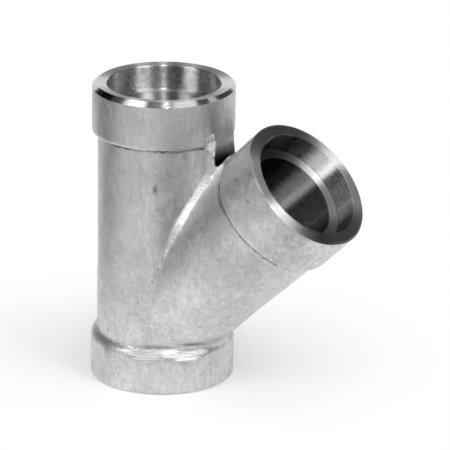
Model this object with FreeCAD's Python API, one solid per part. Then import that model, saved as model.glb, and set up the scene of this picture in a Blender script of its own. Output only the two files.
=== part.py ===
import FreeCAD, Part
import math
import os

from FreeCAD import Placement, Rotation, Vector

# A forged socket-weld lateral tee. The run stands along Z with its bottom face on the
# XY plane, and the branch leaves it in the XZ plane, upward and toward +X. The origin is
# the centre of the bottom face. Lengths are in millimetres and angles in degrees.

# Layout of the two axes
overall_height = 206.0          # bottom face to top face of the run
crossing_height = 42.4          # where the axis of the branch meets the axis of the run
branch_angle = 45.0             # between the two axes
branch_reach = 162.6            # from the crossing to the face of the branch

# The pipe, and the holes that take it
pipe_dia = 76.0                 # outside diameter of the pipe
socket_clearance = 0.9          # on the diameter, so that the pipe slips in
socket_depth = 16.5             # from the face to the stop
mouth_deburr = 0.45             # broken edge at the mouth of each socket
run_bore_dia = 62.7             # the way through the run
branch_bore_dia = 62.2          # the way through the branch

# Forged bodies between the collars
run_wall = 13.15                # round the way through the run
branch_wall = 11.2              # round the way through the branch
crease_radius = 7.0             # where the branch grows out of the run

# Forged collars: a step is how far a collar stands out from its body, and the straight
# length runs from the face to where the round shoulder starts
top_collar_step = 3.7
top_collar_straight = 29.0
top_shoulder_radius = 4.0
bottom_collar_step = 4.2
bottom_collar_straight = 26.0
bottom_shoulder_radius = 7.0
branch_collar_step = 4.6
branch_collar_straight = 31.8
branch_shoulder_radius = 5.0

# Chamfers turned on the outer edge of each face. The top one was cut off-centre.
chamfer_angle = 33.0            # between a chamfer and its face
top_chamfer_width = 2.6         # measured across the face
top_chamfer_off_centre = 2.0
top_chamfer_bearing = 108.0     # direction of that offset, from +X toward +Y
bottom_chamfer_width = 2.5
branch_chamfer_width = 1.1

# Crotch web, the metal left between the top collar and the branch
web_stand_out = 5.6             # how far its upright wall stands out from the run body
web_cover = 4.6                 # its height over the branch body
web_width = 25.0                # across the upright wall
web_side_draft = 13.0           # how much each side face opens toward the run
web_wall_top = 36.5             # below the top face: the upright wall ends here
web_top_slope = 20.0            # of the end that runs up into the top collar
web_end = 58.6                  # from the run's axis to the far end of the web
web_end_slope = 25.0            # of that end, from the upright
pocket_radius = 1.6             # bottom of the V pocket between its two walls

# Flat ground by hand on the shoulder of the bottom collar
ground_flat_depth = 1.2         # below the rounded shoulder, at its middle
ground_flat_bearing = -46.0     # direction that it faces, from +X toward +Y
ground_flat_slope = 24.0        # of its normal above the horizontal

# Clear margin by which each cutter runs past the metal that it cuts
overrun = 5.0

# Diameters that follow from the sizes above
run_body_dia = run_bore_dia + 2 * run_wall
branch_body_dia = branch_bore_dia + 2 * branch_wall
top_collar_dia = run_body_dia + 2 * top_collar_step
bottom_collar_dia = run_body_dia + 2 * bottom_collar_step
branch_collar_dia = branch_body_dia + 2 * branch_collar_step

UP = Vector(0, 0, 1)


def end_frames():
    """Frame of each end: origin at the centre of the face, +Z out of the mouth."""
    lean = Rotation(Vector(0, 1, 0), branch_angle)
    crossing = Vector(0, 0, crossing_height)
    return {
        "bottom": Placement(Vector(0, 0, 0), Rotation(Vector(1, 0, 0), 180)),
        "top": Placement(Vector(0, 0, overall_height), Rotation()),
        "branch": Placement(crossing + lean.multVec(UP) * branch_reach, lean),
    }


def placed(shape, frame):
    """Copy of a shape that was made at the origin, moved into a frame."""
    copy = shape.copy()
    copy.Placement = frame.multiply(copy.Placement)
    return copy


def section(radius, height):
    """Point of a half section in the XZ plane."""
    return Vector(radius, 0, height)


def collar(collar_dia, straight, shoulder_radius):
    """Forged collar below a face at z = 0, with a round shoulder at its inner end."""
    depth = straight + shoulder_radius
    blank = Part.makeCylinder(collar_dia / 2, depth, Vector(0, 0, -depth))
    inner_rim = [edge for edge in blank.Edges if abs(edge.BoundBox.ZMax + depth) < 0.01]
    return blank.makeFillet(shoulder_radius, inner_rim)


def bodies(frames):
    """Run and branch bodies as one solid, with a round crease where they meet."""
    run = Part.makeCylinder(run_body_dia / 2, overall_height)
    branch = Part.makeCylinder(branch_body_dia / 2, branch_reach - branch_collar_straight,
                               Vector(0, 0, -branch_reach))
    joined = run.fuse(placed(branch, frames["branch"])).removeSplitter()
    return joined.makeFillet(crease_radius, crease_edges(joined))


def crease_edges(joined):
    """Edges of the joined bodies that lie on the skin of the run and of the branch."""
    return [edge for edge in joined.Edges if not is_flat_circle(edge)]


def is_flat_circle(edge):
    """True for the round end edges and the straight seams of the two bodies."""
    return edge.Curve.TypeId in ("Part::GeomCircle", "Part::GeomLine")


def web():
    """Crotch web, with the V pocket between its upright wall and its sloping one."""
    wall = run_body_dia / 2 + web_stand_out
    wall_top = overall_height - web_wall_top
    run_up = top_collar_dia / 2 - run_body_dia / 2 + web_stand_out
    lean = math.radians(branch_angle)

    # The sloping wall is a line along the branch, at this height over the crossing
    over_axis = (branch_body_dia / 2 + web_cover) / math.sin(lean)

    def on_sloping_wall(x):
        return section(x, crossing_height + over_axis + x / math.tan(lean))

    wall_head = section(wall, wall_top)
    slope_head = section(wall - run_up,
                         wall_top + run_up / math.tan(math.radians(web_top_slope)))
    pocket = on_sloping_wall(wall)
    end_head = on_sloping_wall(web_end)
    end_drop = 2 * web_cover
    end_foot = end_head + section(end_drop * math.tan(math.radians(web_end_slope)), -end_drop)
    side = [section(0, crossing_height), section(0, wall_top), slope_head, wall_head, pocket,
            end_head, end_foot]

    # Plan of the web: its side faces open toward the run
    opening = math.tan(math.radians(web_side_draft))
    near = web_width / 2 + wall * opening
    far = web_width / 2 - (end_foot.x - wall) * opening
    plan = [Vector(0, -near, 0), Vector(end_foot.x, -far, 0), Vector(end_foot.x, far, 0),
            Vector(0, near, 0)]

    slab = flat_face(side).extrude(Vector(0, 2 * near, 0))
    slab.translate(Vector(0, -near, 0))
    block = slab.common(flat_face(plan).extrude(UP * overall_height))
    return block.makeFillet(pocket_radius, edges_seen_at(block, pocket))


def flat_face(corners):
    """Flat face from its corners, in order."""
    return Part.Face(Part.makePolygon(corners + corners[:1]))


def edges_seen_at(solid, point):
    """Edges that lie at one point when the solid is seen along Y."""
    def at_point(vertex):
        return section(vertex.Point.x, vertex.Point.z).isEqual(point, 0.01)
    return [edge for edge in solid.Edges if all(at_point(vertex) for vertex in edge.Vertexes)]


def ground_flat():
    """Block that takes a hand-ground flat off the shoulder of the bottom collar."""
    size = bottom_collar_dia
    block = Part.makeBox(size, size, size, Vector(-size / 2, -size / 2, 0))
    bearing = Rotation(UP, ground_flat_bearing)
    tilt = Rotation(Vector(0, 1, 0), 90 - ground_flat_slope)
    facing = bearing.multiply(tilt)
    shoulder_centre = bearing.multVec(
        Vector(bottom_collar_dia / 2 - bottom_shoulder_radius, 0, bottom_collar_straight))
    depth = bottom_shoulder_radius - ground_flat_depth
    block.Placement = Placement(shoulder_centre + facing.multVec(UP) * depth, facing)
    return block


def forging(frames):
    """The tee as it leaves the die: bodies, web and collars as one solid."""
    top = collar(top_collar_dia, top_collar_straight, top_shoulder_radius)
    bottom = collar(bottom_collar_dia, bottom_collar_straight, bottom_shoulder_radius)
    branch = collar(branch_collar_dia, branch_collar_straight, branch_shoulder_radius)
    return bodies(frames).fuse([
        web(),
        placed(top, frames["top"]),
        placed(branch, frames["branch"]),
        placed(bottom, frames["bottom"]).cut(ground_flat()),
    ])


def socket():
    """Cutter for a socket below a face at z = 0, with its broken mouth edge."""
    radius = (pipe_dia + socket_clearance) / 2
    hole = Part.makeCylinder(radius, socket_depth + overrun, Vector(0, 0, -socket_depth))
    mouth = Part.makeCone(radius, radius + mouth_deburr + overrun, mouth_deburr + overrun,
                          Vector(0, 0, -mouth_deburr))
    return hole.fuse(mouth)


def chamfer(collar_dia, width, off_centre=Vector()):
    """Cutter for the chamfer round a face at z = 0, of this width across the face."""
    slope = math.tan(math.radians(chamfer_angle))
    outside = collar_dia / 2 + overrun
    depth = (width + overrun) * slope
    height = depth + overrun
    ring = Part.makeCylinder(outside, height, Vector(0, 0, -depth))
    kept = Part.makeCone(outside, outside - height / slope, height, Vector(0, 0, -depth))
    cutter = ring.cut(kept)
    cutter.translate(off_centre)
    return cutter


def cutters(frames):
    """Everything that is machined away after forging."""
    run_bore = Part.makeCylinder(run_bore_dia / 2, overall_height + 2 * overrun,
                                 Vector(0, 0, -overrun))
    branch_bore = Part.makeCylinder(branch_bore_dia / 2, branch_reach + overrun,
                                    Vector(0, 0, -branch_reach))
    off_centre = Rotation(UP, top_chamfer_bearing).multVec(Vector(top_chamfer_off_centre, 0, 0))
    top_chamfer = chamfer(top_collar_dia, top_chamfer_width, off_centre)
    bottom_chamfer = chamfer(bottom_collar_dia, bottom_chamfer_width)
    branch_chamfer = chamfer(branch_collar_dia, branch_chamfer_width)
    return [
        run_bore,
        placed(branch_bore, frames["branch"]),
        placed(top_chamfer, frames["top"]),
        placed(bottom_chamfer, frames["bottom"]),
        placed(branch_chamfer, frames["branch"]),
    ] + [placed(socket(), frame) for frame in frames.values()]


def lateral_tee():
    """The finished fitting as one solid."""
    frames = end_frames()
    finished = forging(frames).cut(cutters(frames)).removeSplitter()
    solids = finished.Solids
    if len(solids) != 1:
        raise ValueError(f"the fitting came out as {len(solids)} solids")
    return solids[0]


def main():
    """Build the fitting and write its one node."""
    os.makedirs("parts", exist_ok=True)
    body = lateral_tee()
    body.exportStep("parts/tee_body.step")
    print("tee_body", "valid", body.isValid(), "volume", round(body.Volume))


main()
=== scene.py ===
import logging
import math
from dataclasses import dataclass
from enum import Enum

import bmesh
import bpy
import numpy as np
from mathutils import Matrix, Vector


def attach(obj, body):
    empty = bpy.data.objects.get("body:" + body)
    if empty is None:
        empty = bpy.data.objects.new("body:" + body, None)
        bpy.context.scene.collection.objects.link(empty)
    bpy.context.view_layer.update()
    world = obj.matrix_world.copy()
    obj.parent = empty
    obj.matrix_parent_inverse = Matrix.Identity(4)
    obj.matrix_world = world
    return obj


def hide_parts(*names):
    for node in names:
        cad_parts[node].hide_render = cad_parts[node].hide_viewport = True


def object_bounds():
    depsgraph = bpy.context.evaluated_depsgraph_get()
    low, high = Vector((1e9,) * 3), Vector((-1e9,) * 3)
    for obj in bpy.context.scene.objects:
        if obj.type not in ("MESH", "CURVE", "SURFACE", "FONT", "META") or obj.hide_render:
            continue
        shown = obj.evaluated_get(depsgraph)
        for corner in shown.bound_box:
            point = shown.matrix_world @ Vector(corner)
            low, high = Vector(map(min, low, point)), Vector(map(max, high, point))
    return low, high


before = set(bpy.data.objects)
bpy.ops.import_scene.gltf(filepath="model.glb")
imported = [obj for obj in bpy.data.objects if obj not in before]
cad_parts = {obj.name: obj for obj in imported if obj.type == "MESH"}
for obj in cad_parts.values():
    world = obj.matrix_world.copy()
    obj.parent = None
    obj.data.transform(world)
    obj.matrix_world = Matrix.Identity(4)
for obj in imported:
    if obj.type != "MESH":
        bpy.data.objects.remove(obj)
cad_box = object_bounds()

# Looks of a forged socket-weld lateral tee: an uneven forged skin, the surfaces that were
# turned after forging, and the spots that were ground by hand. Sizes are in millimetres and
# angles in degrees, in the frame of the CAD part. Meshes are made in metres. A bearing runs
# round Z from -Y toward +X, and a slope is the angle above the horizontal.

import openvdb
from bpy.types import ID, Material, Mesh, Node, NodeOutputs, NodeSocket, Object
from mathutils import Matrix, Quaternion, Vector, noise

METRES = 0.001
DIAGONAL = math.sqrt(0.5)
SMALLEST_RADIUS = 1e-3
SHORTEST_NORMAL = 1e-9
NOT_GROUND = -9.0
NOISE_RANGE = (0.3, 0.7)
QUARTER_TURN = 0.25
STUDIO_AIM = (25.0, 0.0, 110.0)
log = logging.getLogger("lateral_tee")

Triple = tuple[float, float, float]
Colour = tuple[float, float, float, float]
Range = tuple[float, float]
Amount = float | np.ndarray
Term = float | Triple | Colour | NodeSocket


class Zone(Enum):
    """Surfaces of the fitting that have a finish of their own."""

    SKIN = 0
    RUN_FACE = 1
    RUN_SOCKET = 2
    RUN_BORE = 3
    RUN_STOP = 4
    RUN_CHAMFER = 5
    BRANCH_FACE = 6
    BRANCH_SOCKET = 7
    BRANCH_BORE = 8


Profile = list[tuple[float, float, Zone]]


# Solid shapes as distances


def filleted(first: np.ndarray, second: np.ndarray, radius: Amount) -> np.ndarray:
    """Join two solids with a round fillet in the corner between them.

    Args:
        first: Signed distance to one solid, negative inside it.
        second: Signed distance to the other solid.
        radius: Radius of the fillet, which may differ from point to point.

    Returns:
        Signed distance to the joined solid.
    """
    radius = np.maximum(radius, SMALLEST_RADIUS)
    gap = np.hypot(np.maximum(radius - first, 0), np.maximum(radius - second, 0))
    return np.maximum(radius, np.minimum(first, second)) - gap


def rounded_corner(first: np.ndarray, second: np.ndarray, radius: Amount) -> np.ndarray:
    """Keep what two solids share, with a round edge of this radius where their skins meet."""
    return -filleted(-first, -second, radius)


def bearing_of(points: np.ndarray) -> np.ndarray:
    """Bearing of each point round the run."""
    return np.degrees(np.arctan2(points[:, 0], -points[:, 1]))


def direction(bearing: float, slope: float) -> Triple:
    """Find the direction at a bearing and a slope.

    Args:
        bearing: Angle round Z, from -Y toward +X.
        slope: Angle above the horizontal.

    Returns:
        Direction of unit length.
    """
    bearing, slope = math.radians(bearing), math.radians(slope)
    level = math.cos(slope)
    return math.sin(bearing) * level, -math.cos(bearing) * level, math.sin(slope)


def placement(origin: Vector, facing: Vector) -> Matrix:
    """Placement at a point in millimetres, with +Z in the given direction."""
    turn = facing.to_track_quat("Z", "Y").to_matrix().to_4x4()
    return Matrix.Translation(origin * METRES) @ turn


@dataclass(frozen=True)
class Hump:
    """Smooth swelling round a middle, which fades within about twice its reach."""

    middle: float
    reach: float
    height: float = 1.0

    def at(self, value: np.ndarray) -> np.ndarray:
        """Height of the hump at each value."""
        return self.height * np.exp(-(((value - self.middle) / self.reach) ** 2))


@dataclass(frozen=True)
class Ramp:
    """Smooth step from 0 at its start to its height at its end."""

    start: float
    end: float
    height: float = 1.0

    def at(self, value: np.ndarray) -> np.ndarray:
        """Height of the ramp at each value."""
        share = np.clip((value - self.start) / (self.end - self.start), 0, 1)
        return self.height * share * share * (3 - 2 * share)


@dataclass(frozen=True)
class Axis:
    """One axis of the fitting, with its heights measured from a named point."""

    origin: Triple
    direction: Triple

    def measure(self, points: np.ndarray) -> tuple[np.ndarray, np.ndarray]:
        """Measure points against the axis.

        Args:
            points: Places in the frame of the part, one row each.

        Returns:
            Height of each point along the axis, and its distance from the axis.
        """
        offset = points - np.array(self.origin)
        height = offset @ np.array(self.direction)
        along = height[:, None] * np.array(self.direction)
        return height, np.linalg.norm(offset - along, axis=1)

    def matrix(self) -> Matrix:
        """Placement that carries +Z onto the axis, in metres."""
        return placement(Vector(self.origin), Vector(self.direction))


@dataclass(frozen=True)
class GroundSpot:
    """Place where a grinding disc took a flat off the forged skin."""

    centre: Triple
    bearing: float
    slope: float
    reach: float = 40.0

    def taken(self, points: np.ndarray) -> np.ndarray:
        """Measure points against the metal that the disc takes off.

        Args:
            points: Places in the frame of the part, one row each.

        Returns:
            Signed distance, negative inside it.
        """
        offset = points - np.array(self.centre)
        above_flat = -(offset @ np.array(direction(self.bearing, self.slope)))
        return np.maximum(above_flat, np.linalg.norm(offset, axis=1) - self.reach)


@dataclass(frozen=True)
class Sizes:
    """Driving sizes of the fitting, as in the CAD part. The bores are radii here."""

    overall_height: float = 206.0
    crossing_height: float = 42.4
    branch_reach: float = 162.6
    pipe_dia: float = 76.0
    socket_clearance: float = 0.9
    socket_depth: float = 16.5
    mouth_deburr: float = 0.45
    run_bore: float = 31.35
    branch_bore: float = 31.1
    overrun: float = 5.0
    chamfer_angle: float = 33.0

    @property
    def socket(self) -> float:
        """Radius of each socket."""
        return (self.pipe_dia + self.socket_clearance) / 2

    @property
    def run_axis(self) -> Axis:
        """Axis of the run, from the centre of its bottom face."""
        return Axis((0, 0, 0), (0, 0, 1))

    @property
    def branch_axis(self) -> Axis:
        """Axis of the branch, from where it meets the axis of the run."""
        return Axis((0, 0, self.crossing_height), (DIAGONAL, 0, DIAGONAL))


@dataclass(frozen=True)
class Collar:
    """Forged collar round one end, whose shoulder may sag and be sharper on one side."""

    radius: float
    inner_end: float
    shoulder: float
    sag_rounding: float = 0.5

    def distance(self, depth: np.ndarray, radius: np.ndarray, sag: Amount = 0.0,
                 sharper: Amount = 0.0) -> np.ndarray:
        """Distance to the collar, at a depth below its face and a radius from its axis."""
        shoulder = self.shoulder + self.sag_rounding * sag - sharper
        return rounded_corner(radius - self.radius, depth - self.inner_end - sag, shoulder)


@dataclass(frozen=True)
class Web:
    """Crotch web with its V pocket, left by the die between the top collar and the branch."""

    wall: float = 50.1
    wall_top: float = 169.5
    top_slope: float = 20.0
    top_radius: float = 4.0
    cover: float = 46.9
    end: float = 58.6
    end_slope: float = 25.0
    half_width: float = 12.5
    side_draft: float = 13.0
    pocket_radius: float = 1.6
    edge_radius: float = 1.1
    foot_fillet: float = 4.0
    head_limit: float = 195.0

    def distance(self, points: np.ndarray, crossing_height: float) -> np.ndarray:
        """Distance to the web.

        Args:
            points: Places in the frame of the part.
            crossing_height: Where the axis of the branch meets the axis of the run.

        Returns:
            Signed distance, negative inside the web.
        """
        x, y, z = points.T
        over_axis = (z - crossing_height - x) * DIAGONAL
        top, end = math.radians(self.top_slope), math.radians(self.end_slope)
        head = (x - self.wall) * math.cos(top) + (z - self.wall_top) * math.sin(top)
        upright = rounded_corner(x - self.wall, head, self.top_radius)
        tip_z = crossing_height + self.cover / DIAGONAL + self.end
        tip = (x - self.end) * math.cos(end) + (z - tip_z) * math.sin(end)
        sloping = rounded_corner(over_axis - self.cover, tip, self.edge_radius)
        profile = filleted(upright, sloping, self.pocket_radius)
        profile = np.max([profile, -over_axis, -x, z - self.head_limit], axis=0)
        return rounded_corner(profile, self.side(x, y), self.edge_radius)

    def side(self, x: np.ndarray, y: np.ndarray) -> np.ndarray:
        """Distance to the two side faces, negative between them."""
        draft = math.radians(self.side_draft)
        return (np.abs(y) - self.half_width) * math.cos(draft) + (x - self.wall) * math.sin(draft)


@dataclass(frozen=True)
class Forging:
    """The tee as it left the die and the grinder, before it was turned and bored."""

    sizes: Sizes = Sizes()
    web: Web = Web()
    stock: float = 1.4

    run_radius: float = 44.6
    run_waist: Ramp = Ramp(70, 98, 0.35)
    branch_radius: float = 41.7
    branch_flare: float = 0.036
    flare_start: float = 60.0
    crease_fillet: float = 1.6

    # The humps of the collars go by the bearing
    top_collar: Collar = Collar(radius=48.1, inner_end=33.2, shoulder=3.6)
    top_sag: Hump = Hump(-78, 34, 5.0)
    top_sharper: Hump = Hump(35, 55, 2.2)
    top_blend: Hump = Hump(-62, 34, 2.2)
    bottom_collar: Collar = Collar(radius=48.7, inner_end=32.0, shoulder=6.5)
    bottom_sags: tuple[Hump, ...] = (Hump(47, 17, 3.4), Hump(-62, 22, 2.6))
    bottom_blends: tuple[Hump, ...] = (Hump(-62, 25, 3.0), Hump(96, 30, 2.6))
    branch_collar: Collar = Collar(radius=46.85, inner_end=36.6, shoulder=4.4)
    collar_crease: float = 0.9

    # The ground strip grows with the height, in two steps, and starts beside the web
    strip_width: float = 6.4
    strip_end: float = 0.9
    strip_foot: Ramp = Ramp(94, 122)
    strip_head: Ramp = Ramp(136, 154, 0.4)
    strip_side: Ramp = Ramp(11.0, 14.5)

    spot_blend: float = 0.8
    shoulder_spots: tuple[GroundSpot, ...] = (
        GroundSpot((-6.8, -48.2, 30.2), -8, 45),
        GroundSpot((5.1, -48.4, 29.2), 6, 34),
        GroundSpot((14.6, -46.4, 27.4), 13, 27),
        GroundSpot((25.0, -41.8, 24.8), 20, 24),
        GroundSpot((27.2, -40.0, 27.4), 36, 38),
        GroundSpot((36.2, -32.6, 23.0), 54, 23),
        GroundSpot((35.9, -32.2, 27.4), 47, 38),
        GroundSpot((42.6, -23.6, 27.4), 66, 33),
    )
    web_spots: tuple[GroundSpot, ...] = (
        GroundSpot((48.4, -10.4, 175.8), 45, 6, 7.0),
        GroundSpot((48.5, -10.6, 171.4), 42, 15, 6.0),
    )

    def run(self, points: np.ndarray) -> np.ndarray:
        """Distance to the forged body of the run, which has a slight waist.

        Args:
            points: Places in the frame of the part, one row each.

        Returns:
            Signed distance, negative inside it.
        """
        height, radius = self.sizes.run_axis.measure(points)
        body = radius - self.run_radius + self.run_waist.at(height)
        above = height - self.sizes.overall_height
        return np.max([body, above - self.stock, -height - self.stock], axis=0)

    def branch(self, points: np.ndarray) -> np.ndarray:
        """Distance to the forged body of the branch, which widens toward its collar.

        Args:
            points: Places in the frame of the part, one row each.

        Returns:
            Signed distance, negative inside it.
        """
        height, radius = self.sizes.branch_axis.measure(points)
        flare = self.branch_flare * np.maximum(height - self.flare_start, 0)
        end = height - self.sizes.branch_reach - self.stock
        return np.max([radius - self.branch_radius - flare, end, -height], axis=0)

    def strip_size(self, points: np.ndarray) -> np.ndarray:
        """Width of the ground strip between the bodies, which narrows on its way down.

        Args:
            points: Places in the frame of the part, one row each.

        Returns:
            Width at the height of each point.
        """
        height, side = points[:, 2], np.abs(points[:, 1])
        foot = (1 - self.strip_head.height) * self.strip_foot.at(height) ** 2
        share = (foot + self.strip_head.at(height)) * self.strip_side.at(side)
        return self.strip_end + (self.strip_width - self.strip_end) * share

    def ground_strip(self, points: np.ndarray) -> np.ndarray:
        """Distance to the metal under the ground strip between run and branch."""
        return (self.run(points) + self.branch(points) - self.strip_size(points)) * DIAGONAL

    def top_end(self, points: np.ndarray) -> np.ndarray:
        """Distance to the top collar, whose shoulder sags on one side and is sharp in front.

        Args:
            points: Places in the frame of the part, one row each.

        Returns:
            Signed distance, negative inside it.
        """
        height, radius = self.sizes.run_axis.measure(points)
        bearing = bearing_of(points)
        depth = self.sizes.overall_height - height
        collar = self.top_collar.distance(depth, radius, self.top_sag.at(bearing),
                                          self.top_sharper.at(bearing))
        return np.maximum(collar, -depth - self.stock)

    def bottom_end(self, points: np.ndarray) -> np.ndarray:
        """Distance to the bottom collar before its shoulder was ground.

        Args:
            points: Places in the frame of the part, one row each.

        Returns:
            Signed distance, negative inside it.
        """
        height, radius = self.sizes.run_axis.measure(points)
        sag = sum(hump.at(bearing_of(points)) for hump in self.bottom_sags)
        return np.maximum(self.bottom_collar.distance(height, radius, sag), -height - self.stock)

    def branch_end(self, points: np.ndarray) -> np.ndarray:
        """Distance to the collar of the branch.

        Args:
            points: Places in the frame of the part, one row each.

        Returns:
            Signed distance, negative inside it.
        """
        height, radius = self.sizes.branch_axis.measure(points)
        depth = self.sizes.branch_reach - height
        return np.maximum(self.branch_collar.distance(depth, radius), -depth - self.stock)

    def shoulder_taken(self, points: np.ndarray) -> np.ndarray:
        """Distance to all that the disc took off the bottom shoulder, negative inside it."""
        return np.min([spot.taken(points) for spot in self.shoulder_spots], axis=0)

    def distance(self, points: np.ndarray) -> np.ndarray:
        """Distance to the whole forging.

        Args:
            points: Places in the frame of the part, one row each.

        Returns:
            Signed distance, negative inside the metal.
        """
        bearing = bearing_of(points)
        solid = filleted(self.run(points), self.branch(points), self.crease_fillet)
        solid = np.minimum(solid, self.ground_strip(points))

        bottom = self.bottom_end(points)
        for spot in self.shoulder_spots:
            bottom = rounded_corner(bottom, -spot.taken(points), self.spot_blend)
        blend = sum(hump.at(bearing) for hump in self.bottom_blends)
        solid = filleted(solid, bottom, self.collar_crease + blend)
        blend = self.top_blend.at(bearing)
        solid = filleted(solid, self.top_end(points), self.collar_crease + blend)
        solid = filleted(solid, self.branch_end(points), self.collar_crease)

        web = self.web.distance(points, self.sizes.crossing_height)
        solid = filleted(solid, web, self.web.foot_fillet)
        for spot in self.web_spots:
            solid = np.maximum(solid, -spot.taken(points))
        return solid


@dataclass(frozen=True)
class StainAndShade:
    """Soft dark spot on the skin: small ones are stains and pits, broad ones painted shade."""

    centre: Triple
    width: float
    length: float
    strength: float

    def darkness(self, points: np.ndarray) -> np.ndarray:
        """Work out how much the spot darkens the skin.

        Args:
            points: Places on the skin, one row each.

        Returns:
            Darkness, from 0 to the strength of the spot.
        """
        offset = points - np.array(self.centre)
        across = np.hypot(offset[:, 0], offset[:, 1]) / self.width
        return self.strength * np.exp(-(across ** 2) - (offset[:, 2] / self.length) ** 2)


@dataclass(frozen=True)
class SkinMarks:
    """Where the skin was ground, where stains lie on it, and where painted shade darkens its
    creases, its V pocket and broad spots.
    """

    forging: Forging

    # Painted shade under the top collar. In front, from this bearing to the web at this x, it is
    # wider and spreads down the run below this height.
    top_front: Ramp = Ramp(-50, 0)
    top_clear_of_web: Ramp = Ramp(44.5, 42.5)
    top_spread: Ramp = Ramp(175.2, 173.2, 0.6)
    top_width: float = 1.2

    # Painted shade over the bottom collar, along the collar of the branch and between the bodies.
    # Lifts and fades narrow it, by the bearing or the height, and the branch shade widens it into a
    # painted shadow under the step of the branch collar, by the angle round the branch.
    foot_lift: float = 0.5
    foot_fade: Hump = Hump(-62, 25, 0.9)
    branch_width: float = 0.3
    branch_shade: Hump = Hump(36, 20, 3.3)
    branch_edge: Ramp = Ramp(0, 0.8)
    between_fade: Ramp = Ramp(84, 52, 2.0)

    # Painted shade round the bottom of the V pocket, named scale, between its side faces and
    # outside this x
    pocket_bottom: float = 158.8
    pocket_shade_squash: float = 1.15
    pocket_shade_spread: Ramp = Ramp(19.0, 4.0)
    pocket_shade_side: Ramp = Ramp(-0.1, -0.8)
    pocket_shade_depth: Ramp = Ramp(46.0, 49.0)

    # Ground places: how fast the strip turns into skin at its two sides and grows inside, and
    # how far off its flat a point still counts as ground
    strip_branch_side: float = 3.0
    strip_run_side: float = 0.5
    strip_inside: float = 1.5
    smallest_strip: float = 0.02
    shoulder_limit: float = 60.0
    shoulder_tolerance: float = 0.6
    shoulder_start: float = 0.3
    shoulder_growth: float = 2.0
    corner_tolerance: float = 0.5

    # Small stains and pits on the metal come first; the broad spots after them are painted shade
    stains_and_shade: tuple[StainAndShade, ...] = (
        StainAndShade((20.3, -39.4, 145.1), 1.5, 3.0, 1.1),
        StainAndShade((22.2, -38.4, 131.1), 1.2, 1.2, 0.5),
        StainAndShade((29.6, -33.0, 154.3), 1.2, 1.0, 0.5),
        StainAndShade((32.7, -29.9, 102.6), 1.0, 1.3, 0.6),
        StainAndShade((57.7, -36.2, 130.1), 1.2, 1.2, 0.6),
        StainAndShade((66.3, -38.5, 132.5), 1.2, 1.6, 0.6),
        StainAndShade((98.4, -45.8, 154.4), 1.0, 0.9, 1.0),
        StainAndShade((80.6, -42.0, 124.6), 1.6, 2.6, 0.4),
        StainAndShade((-20.1, -39.5, 30.8), 6.0, 1.6, 0.2),
        StainAndShade((-13.6, -46.5, 25.6), 3.4, 3.2, 0.6),
        StainAndShade((35.9, -26.0, 167.6), 2.4, 3.6, 0.3),
        # Painted shade: under the top collar in front, a painted shadow along the top of the bottom
        # collar, the right side of the top collar, and the flanks of the branch
        StainAndShade((33.0, -30.0, 172.3), 9.0, 1.3, 0.8),
        StainAndShade((39.5, -20.0, 173.0), 6.0, 1.6, 1.2),
        StainAndShade((20.0, -40.0, 33.0), 10.0, 1.4, 0.8),
        StainAndShade((39.0, -22.0, 34.8), 9.0, 1.6, 1.1),
        StainAndShade((45.5, -12.0, 184.0), 16.0, 15.0, 0.45),
        StainAndShade((47.5, 6.0, 180.0), 13.0, 15.0, 0.65),
        StainAndShade((42.8, -9.0, 36.8), 12.0, 3.8, 0.5),
        StainAndShade((84.0, -38.0, 95.0), 24.0, 26.0, 0.38),
        StainAndShade((58.0, -30.0, 148.0), 13.0, 13.0, 0.3),
        StainAndShade((46.0, -37.0, 132.0), 9.0, 12.0, 0.26),
    )

    def crease_gap(self, points: np.ndarray) -> np.ndarray:
        """Measure how far the skin lies from the nearest crease with painted shade.

        Args:
            points: Places on the skin, one row each.

        Returns:
            Millimetres, negative in the deepest painted shade.
        """
        forging, (x, y, z) = self.forging, points.T
        run, branch = forging.run(points), forging.branch(points)
        bearing = bearing_of(points)

        front = self.top_front.at(bearing) * self.top_clear_of_web.at(x)
        under = run * (1 - front * self.top_spread.at(z))
        top = np.maximum(under, forging.top_end(points)) - self.top_width * front
        bottom = np.maximum(forging.bottom_end(points), -forging.shoulder_taken(points))
        foot = np.maximum(np.minimum(run, branch), bottom)
        foot += self.foot_lift + self.foot_fade.at(bearing)
        end = forging.branch_end(points)
        over_axis = (z - forging.sizes.crossing_height - x) * DIAGONAL
        turn = np.degrees(np.arctan2(over_axis, -y))
        shade = (self.branch_width + self.branch_shade.at(turn)) * self.branch_edge.at(end)
        between = np.maximum(run, branch) + self.between_fade.at(z)
        return np.min([top, foot, np.maximum(branch, end) - shade, between], axis=0)

    def scale(self, points: np.ndarray) -> np.ndarray:
        """Work out how much painted shade darkens the V pocket of the web.

        Args:
            points: Places on the skin, one row each.

        Returns:
            Share of painted shade, from 0 to 1.
        """
        web, (x, y, z) = self.forging.web, points.T
        away = np.hypot(x - web.wall, self.pocket_shade_squash * (z - self.pocket_bottom))
        inside = self.pocket_shade_side.at(web.side(x, y)) * self.pocket_shade_depth.at(x)
        return self.pocket_shade_spread.at(away) * inside

    def ground_margin(self, points: np.ndarray) -> np.ndarray:
        """How far inside a ground place each point of the skin lies.

        Args:
            points: Places on the skin.

        Returns:
            Millimetres, negative on the skin as forged.
        """
        forging = self.forging
        run, branch = forging.run(points), forging.branch(points)
        strip = np.minimum(run, branch) - forging.ground_strip(points)
        run_side = np.where(strip < 0, self.strip_run_side, self.strip_inside)
        strip = strip * np.where(branch < run, self.strip_branch_side, run_side)
        smallest = forging.strip_end + self.smallest_strip
        strip = np.where(forging.strip_size(points) > smallest, strip, NOT_GROUND)

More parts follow.
